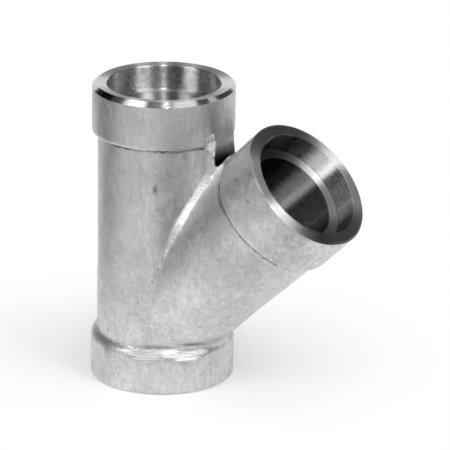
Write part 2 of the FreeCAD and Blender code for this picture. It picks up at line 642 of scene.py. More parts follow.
        flat = np.abs(forging.shoulder_taken(points)) < self.shoulder_tolerance
        shoulder = self.shoulder_start - self.shoulder_growth * forging.bottom_end(points)
        shoulder = np.where(flat & (points[:, 2] < self.shoulder_limit), shoulder, NOT_GROUND)
        corners = [np.abs(spot.taken(points)) for spot in forging.web_spots]
        return np.max([strip, shoulder, self.corner_tolerance - np.min(corners, axis=0)], axis=0)

    def stain_and_shade(self, points: np.ndarray) -> np.ndarray:
        """How much the stains, pits and spots of painted shade darken each point."""
        return np.max([stain_and_shade.darkness(points) for stain_and_shade in self.stains_and_shade], axis=0)

    def write(self, mesh: Mesh) -> None:
        """Store the marks on a mesh, where the finish of the skin finds them.

        Args:
            mesh: The machined mesh, which gets one attribute for each mark.
        """
        points = vertex_places(mesh) / METRES
        for mark in (self.ground_margin, self.crease_gap, self.scale, self.stain_and_shade):
            layer = mesh.attributes.new(mark.__name__, "FLOAT", "POINT")
            layer.data.foreach_set("value", mark(points))


@dataclass(frozen=True)
class Relief:
    """Small unevenness of a forged skin: broad waves, small dimples and a slight sinking."""

    wave_length: float = 21.0
    wave_height: float = 0.20
    dimple_length: float = 5.5
    dimple_height: float = 0.05
    dimple_shift: Triple = (7, 3, 1)
    sinking: float = 0.05

    def height(self, points: np.ndarray) -> np.ndarray:
        """Work out the relief.

        Args:
            points: Places on the smooth skin, one row each.

        Returns:
            Height of the real skin over the smooth one.
        """
        shift = Vector(self.dimple_shift)
        rows = [
            self.wave_height * noise.noise(Vector(point) / self.wave_length)
            + self.dimple_height * noise.noise(Vector(point) / self.dimple_length + shift)
            for point in points
        ]
        return np.array(rows) - self.sinking


# Meshes


def new_object(name: str, data: ID) -> Object:
    """Add an object to the scene.

    Args:
        name: Name of the object.
        data: Its mesh, light or camera.

    Returns:
        The new object.
    """
    made = bpy.data.objects.new(name, data)
    bpy.context.scene.collection.objects.link(made)
    return made


def new_piece(name: str, mesh: bmesh.types.BMesh) -> Object:
    """Add a finished mesh to the scene as an object, and free it.

    Args:
        name: Name of the object and of its data.
        mesh: The mesh.

    Returns:
        The new object.
    """
    data = bpy.data.meshes.new(name)
    mesh.to_mesh(data)
    mesh.free()
    return new_object(name, data)


def vertex_places(mesh: Mesh) -> np.ndarray:
    """Read the vertices of a mesh.

    Args:
        mesh: The mesh.

    Returns:
        Places in metres, one row each.
    """
    places = np.zeros(len(mesh.vertices) * 3)
    mesh.vertices.foreach_get("co", places)
    return places.reshape(-1, 3)


def lathe(name: str, profile: Profile, axis: Axis, closed: bool = False,
          segments: int = 288) -> Object:
    """Turn a profile round an axis into a cutter.

    Args:
        name: Name of the cutter.
        profile: Radius and height of each corner, with the zone of the stretch after it.
        axis: Axis that the profile turns about.
        closed: True for a ring, whose profile runs on from its last corner to its first. Any
            other profile starts and ends on the axis.
        segments: Number of stretches round the axis.

    Returns:
        The cutter, as a closed mesh object.
    """
    mesh = bmesh.new()
    rings = []
    for radius, height, _ in profile:
        spokes = segments if radius > 0 else 1
        angles = [2 * math.pi * step / spokes for step in range(spokes)]
        rings.append([
            mesh.verts.new((radius * METRES * math.cos(angle), radius * METRES * math.sin(angle),
                            height * METRES))
            for angle in angles
        ])
    after = rings[1:] + rings[:1] if closed else rings[1:]
    for low, high, (_, _, zone) in zip(rings, after, profile):
        for step in range(segments):
            corners = [low[step % len(low)], low[(step + 1) % len(low)],
                       high[(step + 1) % len(high)], high[step % len(high)]]
            face = mesh.faces.new(list(dict.fromkeys(corners)))
            face.material_index = zone.value
    mesh.transform(axis.matrix())
    bmesh.ops.recalc_face_normals(mesh, faces=mesh.faces)
    return new_piece(name, mesh)


@dataclass(frozen=True)
class Machining:
    """Cutters for all that was turned and bored after forging."""

    sizes: Sizes
    top_chamfer: float = 2.6
    top_off_centre: float = 2.0
    top_bearing: float = 108.0
    bottom_chamfer: float = 2.5
    branch_chamfer: float = 1.5
    top_face: float = 48.2
    bottom_face: float = 48.7
    branch_face: float = 46.9
    stop_round: float = 0.4

    @property
    def slope(self) -> float:
        """How far each chamfer falls for each millimetre across the face."""
        return math.tan(math.radians(self.sizes.chamfer_angle))

    def mouth(self, bore: float, stop_zone: Zone, wall: Zone, face: Zone) -> Profile:
        """Profile of one socket, from its bore out to its face.

        Args:
            bore: Radius of the way through.
            stop_zone: Zone of the stop at the bottom of the socket.
            wall: Zone of the wall of the socket.
            face: Zone of the face and of the broken edge of the mouth.

        Returns:
            Corners with heights over the face, which is at 0.
        """
        radius, stop, deburr = self.sizes.socket, -self.sizes.socket_depth, self.sizes.mouth_deburr
        return [
            (bore, stop - self.stop_round, stop_zone),
            (bore + self.stop_round, stop, stop_zone),
            (radius - self.stop_round, stop, wall),
            (radius, stop + self.stop_round, wall),
            (radius, -deburr, face),
            (radius + deburr, 0.0, face),
        ]

    def outer(self, face: float, width: float, zone: Zone) -> Profile:
        """Profile of a face and of the chamfer round it, out to the air beyond.

        Args:
            face: Radius of the face before its edge is chamfered.
            width: Width of the chamfer, measured across the face.
            zone: Zone of the face and of its chamfer.

        Returns:
            Corners with heights over the face, which is at 0.
        """
        over = self.sizes.overrun
        fall = (width + over) * self.slope
        return [(face - width, 0.0, zone), (face + over, -fall, zone), (face + over, over, zone)]

    def run_cutter(self) -> Object:
        """Turn the way through the run with both of its sockets and faces.

        Returns:
            The cutter.
        """
        sizes, top, face = self.sizes, self.sizes.overall_height, Zone.RUN_FACE
        mouth = self.mouth(sizes.run_bore, Zone.RUN_STOP, Zone.RUN_SOCKET, face)
        beyond = self.top_face + sizes.overrun
        upper = mouth + [(beyond, 0.0, face), (beyond, sizes.overrun, face)]
        lower = mouth + self.outer(self.bottom_face, self.bottom_chamfer, face)
        lower[0] = (*lower[0][:2], Zone.RUN_BORE)
        profile = [(0.0, -sizes.overrun, face)]
        # Read inward, each stretch of the lower end takes the zone of its outer corner, so the
        # wall of that hidden socket has the finish of the face
        profile += [(radius, -height, zone) for radius, height, zone in reversed(lower)]
        profile += [(radius, top + height, zone) for radius, height, zone in upper]
        profile += [(0.0, top + sizes.overrun, face)]
        return lathe("run_cutter", profile, sizes.run_axis)

    def top_ring(self) -> Object:
        """Turn the ring that cuts the top chamfer, a little off the axis of the run.

        Returns:
            The cutter.
        """
        over, zone, bearing = self.sizes.overrun, Zone.RUN_CHAMFER, math.radians(self.top_bearing)
        centre = (self.top_off_centre * math.cos(bearing), self.top_off_centre * math.sin(bearing),
                  self.sizes.overall_height)
        profile = [
            (self.top_face - self.top_chamfer - over, over * self.slope, zone),
            (self.top_face + over, -(self.top_chamfer + over) * self.slope, zone),
            (self.top_face + over, over * self.slope, zone),
        ]
        return lathe("top_ring", profile, Axis(centre, (0, 0, 1)), closed=True)

    def branch_cutter(self) -> Object:
        """Turn the way through the branch with its socket and face.

        Returns:
            The cutter.
        """
        sizes, face, bore = self.sizes, Zone.BRANCH_FACE, Zone.BRANCH_BORE
        end = self.mouth(sizes.branch_bore, face, Zone.BRANCH_SOCKET, face)
        end += self.outer(self.branch_face, self.branch_chamfer, face)
        end += [(0.0, sizes.overrun, face)]
        profile = [(0.0, 0.0, bore), (sizes.branch_bore, 0.0, bore)]
        profile += [(radius, sizes.branch_reach + height, zone) for radius, height, zone in end]
        return lathe("branch_cutter", profile, sizes.branch_axis)


@dataclass(frozen=True)
class TeeBody:
    """The one piece of the fitting: its mesh and the marks on it."""

    forging: Forging
    relief: Relief = Relief()
    grain: float = 1.15
    quick_grain: float = 2.3
    margin_cells: int = 3
    nudge: float = 0.05
    settle_limit: float = 0.6
    sharp_angle: float = 28.0

    def blank(self) -> Object:
        """Mesh the forging before it is machined.

        Returns:
            The uneven forging, as a closed mesh object.
        """
        step = self.grain
        margin = self.margin_cells * step
        low = np.array(cad_box[0]) / METRES - margin - self.forging.stock
        high = np.array(cad_box[1]) / METRES + margin + self.forging.stock
        counts = np.ceil((high - low) / step).astype(int)
        along_x, along_y, along_z = (start + step * np.arange(count)
                                     for start, count in zip(low, counts))
        y, z = np.meshgrid(along_y, along_z, indexing="ij")
        slabs = []
        for x in along_x:
            points = np.stack([np.full(y.size, x), y.ravel(), z.ravel()], axis=1)
            slabs.append(self.forging.distance(points).reshape(y.shape))
        grid = openvdb.FloatGrid(margin)
        grid.copyFromArray(np.array(slabs, np.float32))
        points, quads = grid.convertToQuads(0.0)
        points = low + step * points.astype(float)
        points = self.settle(self.settle(points))
        points += self.slope(points) * self.relief.height(points)[:, None]
        data = bpy.data.meshes.new("tee_blank")
        data.from_pydata((points * METRES).tolist(), [], quads.tolist())
        return new_object("tee_blank", data)

    def slope(self, points: np.ndarray) -> np.ndarray:
        """Find which way the skin faces.

        Args:
            points: Places in the frame of the part, one row each.

        Returns:
            Outward normal of the forging at each point.
        """
        distance = self.forging.distance
        sides = [distance(points + side) - distance(points - side)
                 for side in np.eye(3) * self.nudge]
        normals = np.stack(sides, axis=1)
        lengths = np.linalg.norm(normals, axis=1, keepdims=True)
        return normals / np.maximum(lengths, SHORTEST_NORMAL)

    def settle(self, points: np.ndarray) -> np.ndarray:
        """Points moved onto the skin of the forging."""
        shift = np.clip(self.forging.distance(points), -self.settle_limit, self.settle_limit)
        return points - self.slope(points) * shift[:, None]

    def machine(self, blank: Object) -> None:
        """Take the bores, sockets, faces and chamfers out of the blank.

        Args:
            blank: The forging, with its materials. Its mesh is replaced by the machined one.
        """
        machining = Machining(self.forging.sizes)
        cutters = [machining.run_cutter(), machining.top_ring(), machining.branch_cutter()]
        for cutter in cutters:
            for material in blank.data.materials:
                cutter.data.materials.append(material)
            cut = blank.modifiers.new(cutter.name, "BOOLEAN")
            cut.operation = "DIFFERENCE"
            cut.solver = "MANIFOLD"
            cut.object = cutter
        shaped = blank.evaluated_get(bpy.context.evaluated_depsgraph_get())
        mesh = bpy.data.meshes.new_from_object(shaped)
        blank.modifiers.clear()
        blank.data = mesh
        for cutter in cutters:
            bpy.data.objects.remove(cutter)

    def finish(self, mesh: Mesh) -> None:
        """Hold a mesh inside the box of the CAD part, mark it and shade it smooth.

        Args:
            mesh: The machined mesh. Its turned edges stay sharp.
        """
        places = np.clip(vertex_places(mesh), np.array(cad_box[0]), np.array(cad_box[1]))
        mesh.vertices.foreach_set("co", places.ravel())
        mesh.update()
        SkinMarks(self.forging).write(mesh)
        mesh.shade_smooth()
        mesh.set_sharp_from_angle(angle=math.radians(self.sharp_angle))

    def build(self, finishes: list[Material]) -> Object:
        """Build the piece and fit it to the part.

        Args:
            finishes: One material for each zone, in the order of the zones.

        Returns:
            The finished piece, riding on the part's only body.
        """
        piece = self.blank()
        for finish in finishes:
            piece.data.materials.append(finish)
        self.machine(piece)
        piece.name = piece.data.name = "lateral_tee"
        self.finish(piece.data)
        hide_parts("tee_body")
        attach(piece, "root")
        return piece


# Materials


class NodeTree:
    """Short calls for the nodes of one shader tree.

    A term is a plain value or the output of another node.
    """

    def __init__(self, tree: bpy.types.NodeTree) -> None:
        """Take over an empty tree."""
        self.tree = tree

    def fill(self, node: Node, inputs: dict[str | int, Term]) -> Node:
        """Give a node its inputs.

        Args:
            node: The node.
            inputs: Terms by the name or the number of the input.

        Returns:
            The same node.
        """
        for name, value in inputs.items():
            if isinstance(value, NodeSocket):
                self.tree.links.new(value, node.inputs[name])
            else:
                node.inputs[name].default_value = value
        return node

    def node(self, kind: str, inputs: dict[str | int, Term], **settings: object) -> Node:
        """Add a node.

        Args:
            kind: Type of the node, without its Shader prefix.
            inputs: Terms by the name or the number of the input.
            **settings: Properties of the node.

        Returns:
            The new node.
        """
        made = self.tree.nodes.new("ShaderNode" + kind)
        for name, value in settings.items():
            setattr(made, name, value)
        return self.fill(made, inputs)

    def math(self, operation: str, *terms: Term) -> NodeSocket:
        """Result of a Math node."""
        return self.node("Math", dict(enumerate(terms)), operation=operation).outputs[0]

    def vector(self, operation: str, *terms: Term) -> NodeSocket:
        """Vector that a Vector Math node makes of vectors."""
        return self.node("VectorMath", dict(enumerate(terms)), operation=operation).outputs[0]

    def measure(self, operation: str, *terms: Term) -> NodeSocket:
        """Number that a Vector Math node makes of vectors, such as a length."""
        return self.node("VectorMath", dict(enumerate(terms)), operation=operation).outputs[1]

    def scaled(self, vector: Term, factor: Term) -> NodeSocket:
        """Vector times a number."""
        return self.node("VectorMath", {0: vector, "Scale": factor}, operation="SCALE").outputs[0]

    def noise(self, place: NodeSocket, size: Term, detail: float = 2.0,
              roughness: float = 0.5) -> NodeSocket:
        """Noise with spots of one size.

        Args:
            place: Where the noise is read, in millimetres.
            size: About how large its spots are, in millimetres.
            detail: How many finer layers it has.
            roughness: How strong the finer layers are.

        Returns:
            Value of the noise.
        """
        inputs = {"Vector": place, "Scale": self.math("DIVIDE", 1.0, size), "Detail": detail,
                  "Roughness": roughness}
        return self.node("TexNoise", inputs).outputs[0]

    def rings(self, path: NodeSocket, scale: float) -> NodeSocket:
        """Noise value that differs along a path only."""
        inputs = {"W": path, "Scale": scale, "Detail": 2.0}
        return self.node("TexNoise", inputs, noise_dimensions="1D").outputs[0]

    def span(self, value: NodeSocket, low: float, high: float, start: float = 0.0,
             end: float = 1.0, smooth: bool = True) -> NodeSocket:
        """Map a value from one range to another and hold it inside.

        Args:
            value: The value.
            low: Value that becomes the start.
            high: Value that becomes the end.
            start: Result at the low value.
            end: Result at the high value.
            smooth: True for a step without corners.

        Returns:
            The mapped value.
        """
        inputs = {"Value": value, "From Min": low, "From Max": high, "To Min": start, "To Max": end}
        kind = "SMOOTHSTEP" if smooth else "LINEAR"
        return self.node("MapRange", inputs, interpolation_type=kind).outputs[0]

    def blend(self, share: Term, first: Term, second: Term) -> NodeSocket:
        """Mix of two numbers."""
        return self.node("Mix", {0: share, 2: first, 3: second}, data_type="FLOAT").outputs[0]

    def blend_colour(self, share: Term, first: Term, second: Term) -> NodeSocket:
        """Mix of two colours."""
        return self.node("Mix", {0: share, 6: first, 7: second}, data_type="RGBA").outputs[2]

    def place(self) -> NodeSocket:
        """Position on the part, in millimetres."""
        return self.scaled(self.node("TexCoord", {}).outputs["Object"], 1 / METRES)

    def attribute(self, name: str) -> NodeSocket:
        """Value of a mark that is stored on the mesh."""
        return self.node("Attribute", {}, attribute_name=name).outputs["Fac"]

    def show(self, shader: Node, output: str = "OutputMaterial") -> None:
        """Make a shader the surface that shows."""
        self.node(output, {"Surface": shader.outputs[0]})


def grey(level: float) -> Colour:
    """Neutral colour of one level."""
    return (level, level, level, 1.0)


def new_material(name: str) -> tuple[Material, NodeTree]:
    """Add a material with an empty tree.

    Args:
        name: Name of the material.

    Returns:
        The material, and its tree.
    """
    made = bpy.data.materials.new(name)
    made.use_nodes = True
    made.node_tree.nodes.clear()
    return made, NodeTree(made.node_tree)


class Socket(Enum):
    """Kinds of values that go into and out of a node group."""

    VALUE = "NodeSocketFloat"
    VECTOR = "NodeSocketVector"


class Effect:
    """Node group that holds one effect for any material."""

    def __init__(self, name: str, inputs: dict[str, Socket], outputs: dict[str, Socket]) -> None:
        """Make the group with its sockets.

        Args:
            name: Name of the effect.
            inputs: What a material gives it.
            outputs: What it gives back.
        """
        self.group = bpy.data.node_groups.new(name, "ShaderNodeTree")
        for side, sockets in (("INPUT", inputs), ("OUTPUT", outputs)):
            for label, kind in sockets.items():
                self.group.interface.new_socket(name=label, in_out=side, socket_type=kind.value)
        self.tree = NodeTree(self.group)
        self.given = self.group.nodes.new("NodeGroupInput").outputs
        self.result = self.group.nodes.new("NodeGroupOutput")

    def put_out(self, values: dict[str, NodeSocket]) -> None:
        """Link values to the outputs of the group."""
        self.tree.fill(self.result, values)

    def use(self, tree: NodeTree, inputs: dict[str, Term]) -> NodeOutputs:
        """Place the effect in a material and return its outputs."""
        return tree.node("Group", inputs, node_tree=self.group).outputs


@dataclass(frozen=True)
class Pattern:
    """One pattern of uneven tone: the size of its spots, and the noise it shows from 0 to 1."""

    size: float
    low: float
    high: float
    detail: float
    roughness: float = 0.5
    smooth: bool = True

    def value(self, tree: NodeTree, place: NodeSocket) -> NodeSocket:
        """The pattern over a place, from 0 to 1."""
        spots = tree.noise(place, self.size, self.detail, self.roughness)
        return tree.span(spots, self.low, self.high, smooth=self.smooth)


def clouding_effect() -> Effect:
    """Make the uneven tone of metal: clouds, blotches, drawn streaks, grain, specks and pits.

    Returns:
        The effect, which puts out each pattern from 0 to 1.
    """
    bend_size, bend, drawn_out = 9.0, 5.0, 0.16
    names = ("Clouds", "Blotches", "Streaks", "Grain", "Specks", "Pits")
    effect = Effect("clouding", {"Place": Socket.VECTOR, "Spot Size": Socket.VALUE},
                    {name: Socket.VALUE for name in names})
    tree, given = effect.tree, effect.given
    place = tree.scaled(given["Place"], tree.math("DIVIDE", 1.0, given["Spot Size"]))
    warp = tree.node("TexNoise", {"Vector": place, "Scale": 1 / bend_size, "Detail": 2.0})
    bent = tree.vector("MULTIPLY_ADD", warp.outputs["Color"], (bend, bend, bend), place)
    drawn = tree.vector("MULTIPLY", bent, (1.0, 1.0, drawn_out))
    effect.put_out({
        "Clouds": Pattern(26.0, 0.32, 0.68, 3.0, 0.55).value(tree, bent),
        "Blotches": Pattern(4.2, 0.32, 0.68, 4.0, 0.65).value(tree, bent),
        "Streaks": Pattern(2.2, 0.3, 0.7, 3.0, 0.6).value(tree, drawn),
        "Grain": Pattern(1.1, 0.28, 0.72, 2.0, 0.6, smooth=False).value(tree, place),
        "Specks": Pattern(1.7, 0.66, 0.76, 1.0).value(tree, place),
        "Pits": Pattern(2.1, 0.28, 0.19, 1.0).value(tree, bent),
    })
    return effect


def scratch_effect() -> Effect:
    """Make the level scratches of a grinding disc.

    Returns:
        The effect, which puts out the scratches and how an edge frays, from 0 to 1.
    """
    along, fray_along, fray_size = 0.09, 0.3, 1.3
    effect = Effect("scratches", {"Place": Socket.VECTOR, "Spacing": Socket.VALUE},
                    {"Scratches": Socket.VALUE, "Fray": Socket.VALUE})
    tree, given = effect.tree, effect.given
    level = tree.vector("MULTIPLY", given["Place"], (along, along, 1.0))
    fray = tree.vector("MULTIPLY", given["Place"], (fray_along, fray_along, 1.0))
    effect.put_out({
        "Scratches": tree.noise(level, given["Spacing"], detail=3.0, roughness=0.65),
        "Fray": tree.noise(fray, fray_size, detail=3.0),
    })
    return effect


def turning_effect() -> Effect:
    """Make the tool marks of a turned surface: fine rings and broad bands round an axis.

    Returns:
        The effect, which puts out both from 0 to 1, and a normal that leans toward the axis by
        the dish and toward the mouth by the flank.
    """
    band_scale = 0.55
    inputs = {name: Socket.VECTOR for name in ("Place", "Origin", "Axis")}
    inputs |= {name: Socket.VALUE for name in ("Pitch", "Dish", "Flank")}
    effect = Effect("turning", inputs,
                    {"Rings": Socket.VALUE, "Bands": Socket.VALUE, "Normal": Socket.VECTOR})
    tree, given = effect.tree, effect.given
    offset = tree.vector("SUBTRACT", given["Place"], given["Origin"])
    depth = tree.measure("DOT_PRODUCT", offset, given["Axis"])
    outward = tree.vector("SUBTRACT", offset, tree.scaled(given["Axis"], depth))
    path = tree.math("SUBTRACT", tree.measure("LENGTH", outward), depth)
    inward = tree.scaled(tree.vector("NORMALIZE", outward),
                         tree.math("MULTIPLY", given["Dish"], -1.0))
    surface = tree.node("NewGeometry", {}).outputs["Normal"]
    outboard = tree.scaled(given["Axis"], given["Flank"])
    leaning = tree.vector("ADD", tree.vector("ADD", surface, inward), outboard)
    effect.put_out({
        "Rings": tree.rings(tree.math("DIVIDE", path, given["Pitch"]), 1.0),
        "Bands": tree.span(tree.rings(path, band_scale), *NOISE_RANGE),
        "Normal": tree.vector("NORMALIZE", leaning),
    })
    return effect


@dataclass(frozen=True)
class ForgedFinish:
    """Pickled forging skin, with its stains, painted shade in its creases, V pocket and broad
    spots, and the places ground by hand.
    """

    dark: float = 0.18
    light: float = 0.95
    tone_range: Range = (-0.81, 1.27)
    clouds: float = 0.28
    blotches: float = 0.2
    streaks: float = 0.28
    grain: float = 0.24
    specks: float = 0.5
    pits: float = -0.9
    roughness: Range = (0.51, 0.41)
    grain_height: float = 0.05

    # Painted shade in the creases and the stain and shade spots: their grey, the edge, waver and
    # patches of the crease shade, and the share of the spots
    shade_and_stain: float = 0.09
    crease_shade_edge: Range = (1.3, 0.1)
    crease_shade_waver: Range = (-0.5, 0.7)
    waver_size: float = 3.0
    crease_shade_share: Range = (0.5, 0.95)
    patch_size: float = 16.0
    patch_range: Range = (0.4, 0.6)
    stain_and_shade_share: float = 0.75
    # Grey of the painted shade in the V pocket, named scale
    scale: float = 0.02

    ground: float = 0.68
    stroke: float = 0.26
    stroke_spacing: float = 1.3
    ground_roughness: float = 0.5
    scratch_height: float = 0.3
    fray: Range = (-1.7, 0.9)
    ground_edge: Range = (-0.2, 0.6)
    strip_height: Range = (60.0, 90.0)
    strip_share: float = 0.5

    def skin_colour(self, tree: NodeTree, tone: NodeOutputs) -> NodeSocket:
        """Mix the colour of the clean skin.

        Args:
            tree: Tree of the material.
            tone: Outputs of the clouding effect.

        Returns:
            The colour.
        """
        shares = {"Clouds": self.clouds, "Blotches": self.blotches, "Streaks": self.streaks,
                  "Grain": self.grain, "Specks": self.specks, "Pits": self.pits}
        mixed = 0.0
        for name, share in shares.items():
            mixed = tree.math("MULTIPLY_ADD", tone[name], share, mixed)
        level = tree.span(mixed, *self.tone_range, smooth=False)
        return tree.blend_colour(level, grey(self.dark), grey(self.light))

    def shade_and_stain_mask(self, tree: NodeTree, place: NodeSocket) -> NodeSocket:
        """Work out how much painted shade in the creases, stains and painted shade spots darken the
        skin.

        Args:
            tree: Tree of the material.
            place: Position on the part.

        Returns:
            Share of painted shade and stain, from 0 to 1.
        """
        waver = tree.span(tree.noise(place, self.waver_size, detail=3.0), *NOISE_RANGE,
                          *self.crease_shade_waver, smooth=False)
        line = tree.span(tree.math("ADD", tree.attribute("crease_gap"), waver), *self.crease_shade_edge)
        patches = tree.noise(place, self.patch_size)
        patchy = tree.span(patches, *self.patch_range, *self.crease_shade_share)
        stains_and_shade = tree.math("MULTIPLY", tree.attribute("stain_and_shade"), self.stain_and_shade_share)
        return tree.math("MAXIMUM", tree.math("MULTIPLY", line, patchy), stains_and_shade)

    def ground_mask(self, tree: NodeTree, fray: NodeSocket) -> NodeSocket:
        """Find where the skin was ground, with a frayed edge.

        Args:
            tree: Tree of the material.
            fray: How far the edge frays, from the scratch effect.

        Returns:
            1 on ground metal and 0 on the skin as forged.
        """
        fraying = tree.span(fray, *NOISE_RANGE, *self.fray, smooth=False)
        frayed = tree.math("ADD", tree.attribute("ground_margin"), fraying)
        return tree.span(frayed, *self.ground_edge)

    def material(self, clouding: Effect, scratching: Effect) -> Material:
        """Make the material.

        Args:
            clouding: The shared effect for uneven tone.
            scratching: The shared effect for ground places.

        Returns:
            The finish of the forged skin.
        """
        made, tree = new_material("forged_skin")
        place = tree.place()
        tone = clouding.use(tree, {"Place": place, "Spot Size": 1.0})
        scratch = scratching.use(tree, {"Place": place, "Spacing": self.stroke_spacing})
        ground = self.ground_mask(tree, scratch["Fray"])

        # Painted shade darkens the creases, and stains and spots of painted shade darken the skin
        shade_and_stain = self.shade_and_stain_mask(tree, place)
        skin = tree.blend_colour(shade_and_stain, self.skin_colour(tree, tone), grey(self.shade_and_stain))
        # The V pocket is painted near black as shade, under the mark named scale
        skin = tree.blend_colour(tree.attribute("scale"), skin, grey(self.scale))

        # The strokes are coarse on the bottom shoulder and finer on the strip above it
        above = tree.node("SeparateXYZ", {0: place}).outputs["Z"]
        coarse = tree.span(above, *self.strip_height, 1.0, self.strip_share)
        stroke = tree.span(scratch["Scratches"], *NOISE_RANGE, -self.stroke, self.stroke,
                           smooth=False)
        polish = tree.math("MULTIPLY_ADD", stroke, coarse, self.ground)
        rough = tree.span(tone["Blotches"], 0.0, 1.0, *self.roughness)
        grain = tree.math("MULTIPLY", tone["Grain"], self.grain_height)
        scratches = tree.math("MULTIPLY", tree.math("MULTIPLY", scratch["Scratches"], coarse),
                              self.scratch_height)
        bump = tree.node("Bump", {"Strength": 1.0, "Distance": METRES,
                                  "Height": tree.blend(ground, grain, scratches)})
        tree.show(tree.node("BsdfPrincipled", {
            "Base Color": tree.blend_colour(ground, skin, polish), "Metallic": 1.0,
            "Roughness": tree.blend(ground, rough, self.ground_roughness),
            "Normal": bump.outputs[0],
        }))
        return made


@dataclass(frozen=True)
class TurnedFinish:
    """Bright metal off the lathe, with rings round one axis and a gloss that they stretch."""

    name: str
    axis: Axis
    tone: float = 0.72
    ring_tones: Range = (0.9, 1.07)
    ring_share: float = 0.5
    patch_tone: float = 0.3
    patches: float = 0.12
    patch_size: float = 0.7
    roughness: float = 0.3
    rougher: float = 0.04
    smoother: float = 0.02
    ring_height: float = 0.05
    ring_pitch: float = 0.45
    anisotropy: float = 1.0
    dish: float = 0.12
    flank: float = 0.0

    def around(self, tree: NodeTree, place: NodeSocket) -> NodeSocket:
        """Direction of the rings at each place."""
        offset = tree.vector("SUBTRACT", place, self.axis.origin)
        return tree.vector("NORMALIZE", tree.vector("CROSS_PRODUCT", self.axis.direction, offset))

    def colour(self, tree: NodeTree, marks: NodeOutputs,
               spots: NodeSocket) -> NodeSocket:
        """Mix the colour of the metal, which its rings lighten and darken and patches dull.

        Args:
            tree: Tree of the material.
            marks: Outputs of the turning effect.
            spots: Where the patches lie, from 0 to 1.

        Returns:
            The colour.
        """
        shade = tree.math("ADD", tree.math("MULTIPLY", marks["Rings"], self.ring_share),
                          tree.math("MULTIPLY", marks["Bands"], 1 - self.ring_share))
        low, high = (grey(share * self.tone) for share in self.ring_tones)
        patch = tree.math("MULTIPLY", spots, self.patches)
        return tree.blend_colour(patch, tree.blend_colour(shade, low, high),
                                 grey(self.patch_tone * self.tone))

    def material(self, clouding: Effect, turning: Effect) -> Material:
        """Make the material.

        Args:
            clouding: The shared effect for uneven tone.
            turning: The shared effect for tool marks.

        Returns:
            The finish of the turned surfaces round this axis.
        """
        made, tree = new_material(self.name)
        place = tree.place()
        marks = turning.use(tree, {
            "Place": place, "Origin": self.axis.origin, "Axis": self.axis.direction,
            "Pitch": self.ring_pitch, "Dish": self.dish, "Flank": self.flank,
        })
        spots = clouding.use(tree, {"Place": place, "Spot Size": self.patch_size})["Blotches"]
        bump = tree.node("Bump", {"Strength": 1.0, "Distance": self.ring_height * METRES,
                                  "Height": marks["Rings"], "Normal": marks["Normal"]})
        rough = tree.blend(spots, self.roughness + self.rougher, self.roughness - self.smoother)
        tree.show(tree.node("BsdfPrincipled", {
            "Base Color": self.colour(tree, marks, spots), "Metallic": 1.0, "Roughness": rough,
            "Anisotropic": self.anisotropy, "Anisotropic Rotation": QUARTER_TURN,
            "Tangent": self.around(tree, place), "Normal": bump.outputs[0],
        }))
        return made


def make_finishes(sizes: Sizes) -> list[Material]:
    """Make the material of each zone.

    Args:
        sizes: Sizes of the fitting.

    Returns:
        One material for each zone, in the order of the zones.
    """
    run, branch = sizes.run_axis, sizes.branch_axis
    clouding, turning = clouding_effect(), turning_effect()
    wall = {"dish": 0.0, "ring_height": 0.04}
    turned = [
        TurnedFinish("run_face", run),
        TurnedFinish("run_socket", run, tone=0.66, roughness=0.28, **wall),
        TurnedFinish("run_bore", run, tone=0.66, roughness=0.36, **wall),
        TurnedFinish("run_stop", run, tone=0.4, roughness=0.55, **wall),
        TurnedFinish("run_chamfer", run, roughness=0.18, anisotropy=0.8, ring_height=0.01, dish=0.0,
                     patches=0.3),
        TurnedFinish("branch_face", branch, tone=0.53, roughness=0.45, dish=0.0),
        # The branch socket and bore take tones far below the run's turned metal, as painted shade
        # inside the branch
        TurnedFinish("branch_socket", branch, tone=0.19, roughness=0.27, flank=1.4, dish=0.0,
                     ring_height=0.02, patches=0.5),
        TurnedFinish("branch_bore", branch, tone=0.065, roughness=0.29, flank=1.6, dish=0.0,
                     ring_height=0.015, patches=0.6),
    ]
    skin = ForgedFinish().material(clouding, scratch_effect())
    return [skin] + [finish.material(clouding, turning) for finish in turned]


# Studio


def show_in_mirrors(item: Object, tone: float) -> None:
    """Make an item of the studio glow, and let it be seen in reflections only.

    Args:
        item: The item.
        tone: Its grey.
    """
    made, tree = new_material(item.name)
    tree.show(tree.node("Emission", {"Color": grey(tone), "Strength": 1.0}))
    item.data.materials.append(made)
    item.visible_camera = item.visible_shadow = item.visible_diffuse = False


@dataclass(frozen=True)
class PhotoCamera:
    """Camera of the photograph, from the outlines of the fitting in it.

    Tilt, pan and roll are small turns away from the aim, about the camera's own axes.
    """

    aim: Triple = (25.0, 0.0, 100.0)
    bearing: float = 34.04
    slope: float = 19.74
    distance: float = 2670.4
    tilt: float = -0.2057
    pan: float = 0.4537
    roll: float = -0.52
    lens: float = 316.78
    sensor: float = 36.0

    def build(self) -> None:
        """Set up the camera and make it the scene's own."""
        back = Vector(direction(self.bearing, self.slope))
        right = (-back).cross(Vector((0, 0, 1))).normalized()
        rows = Matrix((right, right.cross(-back), back))
        turn = Vector([math.radians(angle) for angle in (self.tilt, self.pan, self.roll)])
        rows = Quaternion(turn.normalized(), turn.length).to_matrix() @ rows
        data = bpy.data.cameras.new("photo_camera")
        data.lens, data.sensor_width = self.lens, self.sensor
        data.clip_start, data.clip_end = 0.1, 50.0
        camera = new_object("photo_camera", data)
        place = Matrix.Translation((Vector(self.aim) + back * self.distance) * METRES)
        camera.matrix_world = place @ rows.transposed().to_4x4()
        bpy.context.scene.camera = camera


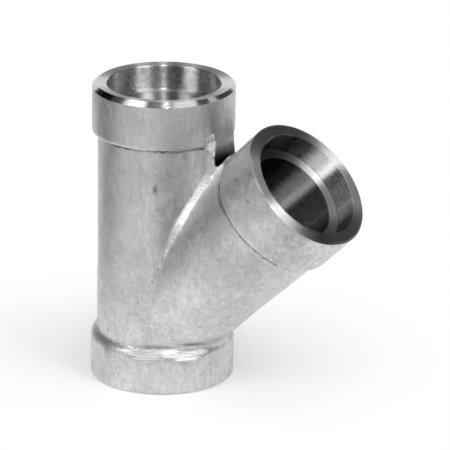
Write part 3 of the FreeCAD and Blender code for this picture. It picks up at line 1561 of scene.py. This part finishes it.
@dataclass(frozen=True)
class Panel:
    """Flat item of the studio that looks at the fitting from some way off."""

    name: str
    bearing: float
    slope: float
    distance: float
    width: float
    height: float

    def hang(self, data: ID) -> Object:
        """Hang the panel in its place, out of the camera's sight.

        Args:
            data: Its light or its mesh.

        Returns:
            The panel, as an object of the scene.
        """
        toward = Vector(direction(self.bearing, self.slope))
        item = new_object(self.name, data)
        item.matrix_world = placement(Vector(STUDIO_AIM) + toward * self.distance, toward)
        item.visible_camera = False
        return item


@dataclass(frozen=True)
class Softbox(Panel):
    """Rectangular soft light."""

    power: float

    def build(self) -> None:
        """Hang the light in the studio."""
        data = bpy.data.lights.new(self.name, "AREA")
        data.shape = "RECTANGLE"
        data.size, data.size_y = self.width * METRES, self.height * METRES
        data.energy = self.power
        self.hang(data)


@dataclass(frozen=True)
class Card(Panel):
    """Card of one tone that the metal mirrors."""

    tone: float = 0.02

    def build(self) -> None:
        """Put the card up."""
        x, y = self.width * METRES / 2, self.height * METRES / 2
        data = bpy.data.meshes.new(self.name)
        data.from_pydata([(-x, -y, 0), (x, -y, 0), (x, y, 0), (-x, y, 0)], [], [(0, 1, 2, 3)])
        show_in_mirrors(self.hang(data), self.tone)


@dataclass(frozen=True)
class Studio:
    """Plain pale floor, soft lights, cards and tent, and the white surround."""

    tent_radius: float = 1300.0
    tent_tone: float = 0.08
    floor_radius: float = 6000.0
    floor_tone: float = 0.9
    floor_fade: Range = (-60.0, 220.0)
    surround: float = 0.3
    softboxes: tuple[Softbox, ...] = (
        Softbox("right_softbox", 80, 34, 900, 430, 380, 3.0),
        Softbox("right_glint", 78, 43, 880, 400, 120, 1.5),
        Softbox("left_softbox", -23, 27, 900, 380, 480, 3.0),
        Softbox("strip_light", 33, 56, 900, 10, 1200, 2.6),
        Softbox("top_softbox", -72, 67, 1000, 200, 280, 0.6),
        Softbox("back_softbox", 150, 76, 1000, 360, 300, 0.4),
    )
    cards: tuple[Card, ...] = (
        Card("card_left", -66, 8, 430, 340, 420),
        Card("card_left_low", -68, -18, 300, 260, 200, 0.3),
        Card("card_left_front", -18, -6, 450, 340, 260, 0.14),
        Card("card_front", 38, -6, 470, 330, 260, 0.5),
        Card("card_right_front", 72, -4, 470, 360, 300, 0.5),
        Card("card_right", 115, 8, 450, 340, 420),
        Card("card_right_low", 62, -30, 200, 330, 200, 0.04),
        Card("front_glow", 51, 25, 880, 320, 300, 0.6),
        Card("chamfer_glow", 157, 53, 1000, 260, 130, 1.0),
        Card("zenith_glow", -40, 82, 900, 220, 180, 0.35),
        Card("black_left", -101, 40, 800, 340, 260, 0.0),
        Card("black_right", 166, 40, 800, 110, 150, 0.0),
        Card("white_sweep", 214, 8, 1000, 2000, 760, 0.9),
    )

    def tent(self) -> None:
        """Hang the grey tent, which the metal mirrors between the lights."""
        mesh = bmesh.new()
        bmesh.ops.create_uvsphere(mesh, u_segments=48, v_segments=24,
                                  radius=self.tent_radius * METRES)
        show_in_mirrors(new_piece("tent", mesh), self.tent_tone)

    def floor(self) -> None:
        """Lay the floor: pale under the fitting, and the white of the surround beyond it."""
        made, tree = new_material("pale_floor")
        pale = tree.node("BsdfPrincipled", {"Base Color": grey(self.floor_tone), "Roughness": 0.9,
                                            "Specular IOR Level": 0.1})
        white = tree.node("Emission", {"Color": grey(1.0), "Strength": 1.0})
        away = tree.span(tree.measure("LENGTH", tree.place()), *self.floor_fade)
        share = tree.math("MULTIPLY", away, self.seen_rays(tree))
        tree.show(tree.node("MixShader", {0: share, 1: pale.outputs[0], 2: white.outputs[0]}))
        mesh = bmesh.new()
        bmesh.ops.create_circle(mesh, cap_ends=True, segments=96, radius=self.floor_radius * METRES)
        floor = new_piece("floor", mesh)
        floor.data.materials.append(made)

    def seen_rays(self, tree: NodeTree) -> NodeSocket:
        """Find the rays that show the surround.

        Args:
            tree: Tree of the material or of the world.

        Returns:
            1 for camera, glossy and transmission rays, and 0 for others.
        """
        path = tree.node("LightPath", {}).outputs
        seen = tree.math("MAXIMUM", path["Is Camera Ray"], path["Is Glossy Ray"])
        return tree.math("MAXIMUM", seen, path["Is Transmission Ray"])

    def world(self) -> None:
        """Give the scene its white surround, which lights the fitting only softly."""
        world = bpy.data.worlds.new("surround")
        world.use_nodes = True
        world.node_tree.nodes.clear()
        tree = NodeTree(world.node_tree)
        strength = tree.blend(self.seen_rays(tree), self.surround, 1.0)
        sky = tree.node("Background", {"Color": grey(1.0), "Strength": strength})
        tree.show(sky, "OutputWorld")
        bpy.context.scene.world = world

    def build(self) -> None:
        """Set up the whole studio."""
        self.floor()
        self.world()
        self.tent()
        for panel in (*self.softboxes, *self.cards):
            panel.build()
        PhotoCamera().build()
        bpy.context.scene.view_settings.view_transform = "Standard"


def main() -> None:
    """Build the finishes, the fitting and the studio, in that order."""
    logging.basicConfig(level=logging.INFO, format="%(name)s %(message)s")
    sizes = Sizes()
    piece = TeeBody(Forging(sizes)).build(make_finishes(sizes))
    triangles = sum(len(face.vertices) - 2 for face in piece.data.polygons)
    log.info("%s: %d triangles", piece.name, triangles)
    studio = Studio()
    studio.build()
    log.info("studio: %d softboxes, %d cards", len(studio.softboxes), len(studio.cards))


if __name__ == "__main__":
    main()
